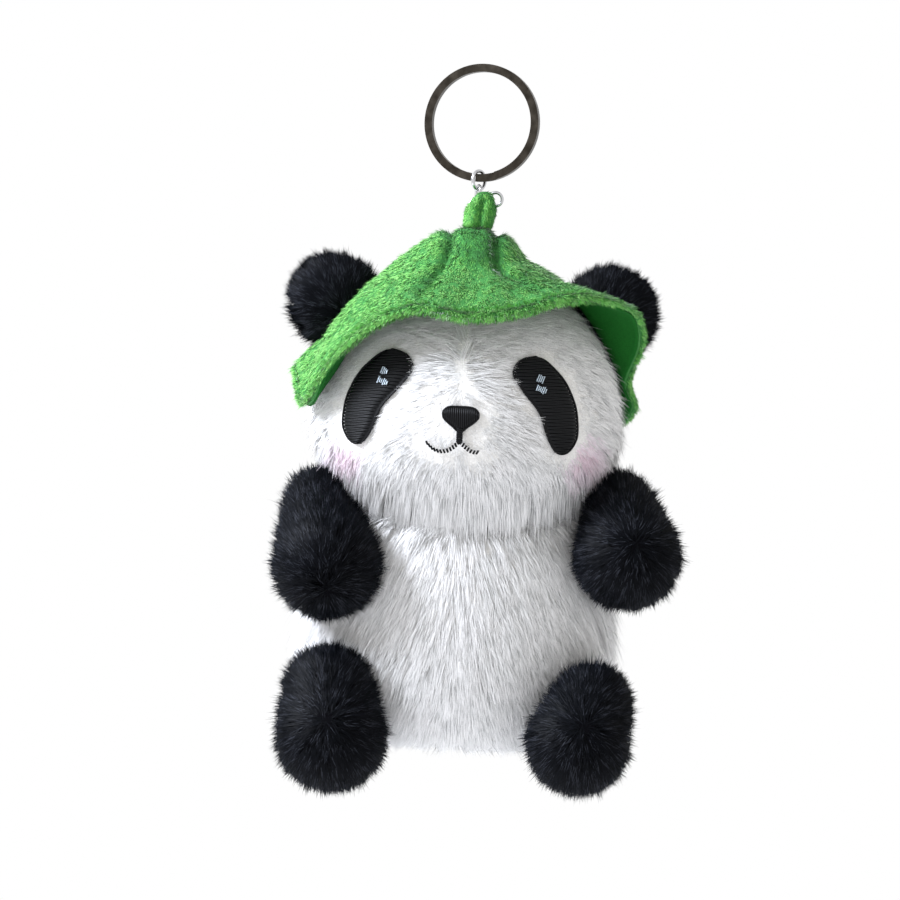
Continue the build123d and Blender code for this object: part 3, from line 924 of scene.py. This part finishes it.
# ==== Embroidered eyes =======================================================================
# Two leaning beans of black rayon in satin stitch over a padded fill, run round with an outline
# stitch, with two short blocks of silver thread as glints. They are sewn through the face.
# rayon thread: deep black with a silky gleam along each stitch
black_thread = plain_material("black rayon thread", "#070709", 0.45, Specular_IOR_Level=0.16)
thread_place = add_node(black_thread, "ShaderNodeTexCoord")
ply = 0.25 * MM
thread_ply = add_node(
    black_thread, "ShaderNodeTexNoise", {"Scale": 1 / ply, "Detail": 2.0},
    {"Vector": (thread_place, "Object")},
)
thread_tone = add_node(
    black_thread, "ShaderNodeValToRGB", (), {"Fac": (thread_ply, "Fac")},
    {"Color": (shader_of(black_thread), "Base Color")},
)
thread_tone.color_ramp.elements[0].color = linear("#030304")
thread_tone.color_ramp.elements[1].color = linear("#0a0b0d")
# metallised film twisted round a core: small hard sparkles, bluish against the black
silver_thread = plain_material("silver film thread", "#aebac4", 0.3, Metallic=0.7)
for node in ("right_eye", "left_eye", "nose"):
    finish_cad(node, black_thread)

face_tree = BVHTree.FromObject(head_cloth, bpy.context.evaluated_depsgraph_get())


def on_face(x, z, height):
    """A point that height above the cloth of the face, in millimetres."""
    hit = face_tree.ray_cast(Vector((x, -80, z)) * MM, Vector((0, 1, 0)))
    return np.array((hit[0] + hit[1] * height * MM) / MM)


def satin_rows(outline, pitch, across, base, crown, slant=0.0):
    """Threads laid side by side over an outline. across is 0 for rows along x, 1 along z."""
    loop = [list(point) for point in outline] + [list(outline[0])]
    other = 1 - across
    low, high = outline[:, other].min(), outline[:, other].max()
    rows = []
    for index, level in enumerate(np.arange(low + pitch * 0.6, high, pitch)):
        cuts = []
        for start, end in zip(loop, loop[1:]):
            if (start[other] - level) * (end[other] - level) < 0:
                share = (level - start[other]) / (end[other] - start[other])
                cuts.append(start[across] + share * (end[across] - start[across]))
        cuts.sort()
        for first, last in zip(cuts[::2], cuts[1::2]):
            if last - first < pitch:
                continue
            row = []
            lean = slant * (1 if index % 2 else -1)
            for share in np.linspace(0, 1, max(4, int((last - first) / 1.1) + 2)):
                place = [0, 0]
                place[across] = first + share * (last - first)
                place[other] = level + lean * (share - 0.5)
                height = base + crown * math.sqrt(max(0.0, 1 - (2 * share - 1) ** 4))
                row.append(on_face(place[0], place[1], height))
            rows.append(row)
    return rows


thread_radius, glint_thread_radius = 0.27, 0.17
eye_pitch, nose_pitch, mouth_pitch = 0.42, 0.5, 0.8
# heights of the threads' middles above the cloth
eye_outline_height, nose_outline_height, glint_height = 0.75, 0.8, 1.75
mouth_height, bridge_height = 1.25, 1.3
# distance from the middle of the face, level, width and height of each block of a glint
glint_blocks = ((18.7, -64.7, 1.3, 1.9), (19.0, -67.2, 2.1, 1.7))
glint_slant = 0.35
rng = np.random.default_rng(47)
for side_name, side in sides.items():
    outline = eye_outlines[side_name]
    rows = satin_rows(outline, eye_pitch, across=0, base=0.35, crown=0.85, slant=0.2)
    rows.append([on_face(x, z, eye_outline_height) for x, z in (*outline[::3], outline[0])])
    eye_rows = curve_mesh(f"{side_name}_eye_stitches", rows, thread_radius, black_thread)
    dress(eye_rows, "head")
    glint_rows = []
    for x, z, block_width, block_height in glint_blocks:
        for shift in np.arange(-block_width / 2, block_width / 2 + 0.01, eye_pitch):
            middle = (face_middle + side * x + shift, z - shift * glint_slant)
            reach = block_height / 2 * rng.uniform(0.45, 1.0)
            glint_rows.append([
                on_face(middle[0] + part * glint_slant, middle[1] + part, glint_height)
                for part in np.linspace(-reach, reach, 4)
            ])
    glint = curve_mesh(f"{side_name}_glint_stitches", glint_rows, glint_thread_radius, silver_thread)
    dress(glint, "head")
    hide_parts(f"{side_name}_eye_glint")

# ==== Embroidered nose and mouth =============================================================
# The nose is a rounded triangle in upright satin stitch. Slanting stitches run down from it and
# out into the two curves of the mouth.
nose_rows = satin_rows(nose_outline, nose_pitch, across=1, base=0.4, crown=0.9)
nose_rows.append([
    on_face(x, z, nose_outline_height) for x, z in (*nose_outline[::3], nose_outline[0])
])
dress(curve_mesh("nose_stitches", nose_rows, thread_radius, black_thread), "head")
mouth_rows = []
for side_name, line in mouth_lines.items():
    steps = np.linalg.norm(np.diff(line, axis=0), axis=1)
    travelled = np.concatenate(([0], np.cumsum(steps)))
    for place in np.arange(0.3, travelled[-1], mouth_pitch):
        x, z = np.interp(place, travelled, line[:, 0]), np.interp(place, travelled, line[:, 1])
        mouth_rows.append([
            on_face(x + part * 0.5 * sides[side_name], z + part + 0.15, mouth_height - abs(part) * 0.5)
            for part in (-0.4, -0.15, 0.15, 0.4)
        ])
for level in np.arange(-77.6, -81.0, -0.5):
    mouth_rows.append([
        on_face(face_middle + part, level - part * 0.2, bridge_height - abs(part) * 0.4)
        for part in (-0.7, -0.25, 0.25, 0.7)
    ])
mouth_stitches = curve_mesh("mouth_stitches", mouth_rows, thread_radius, black_thread)
dress(mouth_stitches, "head")
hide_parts("mouth")

# ==== Torso ==================================================================================
# Two belly panels, two back panels and a flat base of the white plush, stuffed firmly. The pile
# hangs from the neck and parts a little on the centre seam.
torso_panels = ("belly_right_panel", "belly_left_panel", "back_right_panel", "back_left_panel",
                "base_panel", "torso_stuffing")
torso_cloth = cloth_from(torso_panels, "torso_cloth", white_backing, 1.4, 6)
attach(torso_cloth, "torso")
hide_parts(*torso_panels)


def torso_comb(points):
    """Down, and outwards from the centre seam."""
    x, z = points[:, 0] / MM, points[:, 2] / MM
    return np.stack(
        (0.45 * np.tanh(x / 6) + x / 60, -0.05 + 0 * x, -1 + 0.5 * soften(-z, 148, 160)), 1
    )


# the depth of the side seams, between the belly's pile and the back's
side_seam = 3.0 * MM
torso_bands = {
    "belly_right_pile": lambda p: (p[:, 1] < side_seam) & (p[:, 0] < 0),
    "belly_left_pile": lambda p: (p[:, 1] < side_seam) & (p[:, 0] >= 0),
    "back_right_pile": lambda p: (p[:, 1] >= side_seam) & (p[:, 0] < 0),
    "back_left_pile": lambda p: (p[:, 1] >= side_seam) & (p[:, 0] >= 0),
}
for index, (name, region) in enumerate(torso_bands.items()):
    belly = name.startswith("belly")
    pile = grow_pile(
        name, torso_cloth, 12600 if belly else 7200, 12, 7.2, torso_comb, [white_tones],
        51 + index, rise=22, width=0.19 if belly else 0.3, droop=0.9,
        follow=0.8, gather=0.35, keep=lambda p, region=region: region(p).astype(float),
        length_of=lambda p: (1 - 0.35 * soften(-p[:, 2] / MM, 150, 157))
        * (1 + 0.45 * soften(np.abs(p[:, 0]) / MM, 24, 34)),
    )
    dress(pile, "torso")
neck_pile = grow_pile(
    "neck_pile", torso_cloth, 10000, 9, 4.6,
    lambda p: np.stack((0.6 * np.tanh(p[:, 0] / (20 * MM)), -1 + 0 * p[:, 0], -0.3 + 0 * p[:, 0]), 1),
    [white_tones], 55, rise=12, droop=2.6, width=0.22, follow=0.8,
    keep=lambda p: soften(p[:, 2] / MM, -111, -104) * (np.abs(p[:, 0]) < 34 * MM),
)
dress(neck_pile, "torso")

# spun polyester thread, clean white with a low shine: the ladder stitches that close the back
finish_cad("closing_stitches", plain_material("white polyester thread", "#e6e4e0", 0.5))

# ==== Arms and legs ==========================================================================
# Four stuffed teardrops of the black plush, two panels each, sewn on at the shoulders and hips.
# Their long pile whirls out from one point on the front of each.
whorls = {"right_arm": (-32.8, -119.0), "left_arm": (43.4, -104.5),
          "right_leg": (-30.5, -151.0), "left_leg": (32.4, -149.5)}
for index, (limb, (x, z)) in enumerate(whorls.items()):
    panels = (f"{limb}_outer_panel", f"{limb}_inner_panel", f"{limb}_stuffing")
    limb_cloth = cloth_from(panels, f"{limb}_cloth", black_backing, 1.1)
    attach(limb_cloth, limb)
    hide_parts(*panels)
    front = min(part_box(panels[0])[0][1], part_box(panels[1])[0][1])
    whorl = np.array((x * MM, front + 3 * MM, z * MM))
    pile = grow_pile(
        f"{limb}_pile", limb_cloth, 4100, 8, 4.3, lambda p, whorl=whorl: p - whorl,
        black_tones_and_glints, 61 + index, rise=28, rise_spread=11, gather=0.55, droop=0.15, width=0.2, stray=0.2,
    )
    dress(pile, limb)
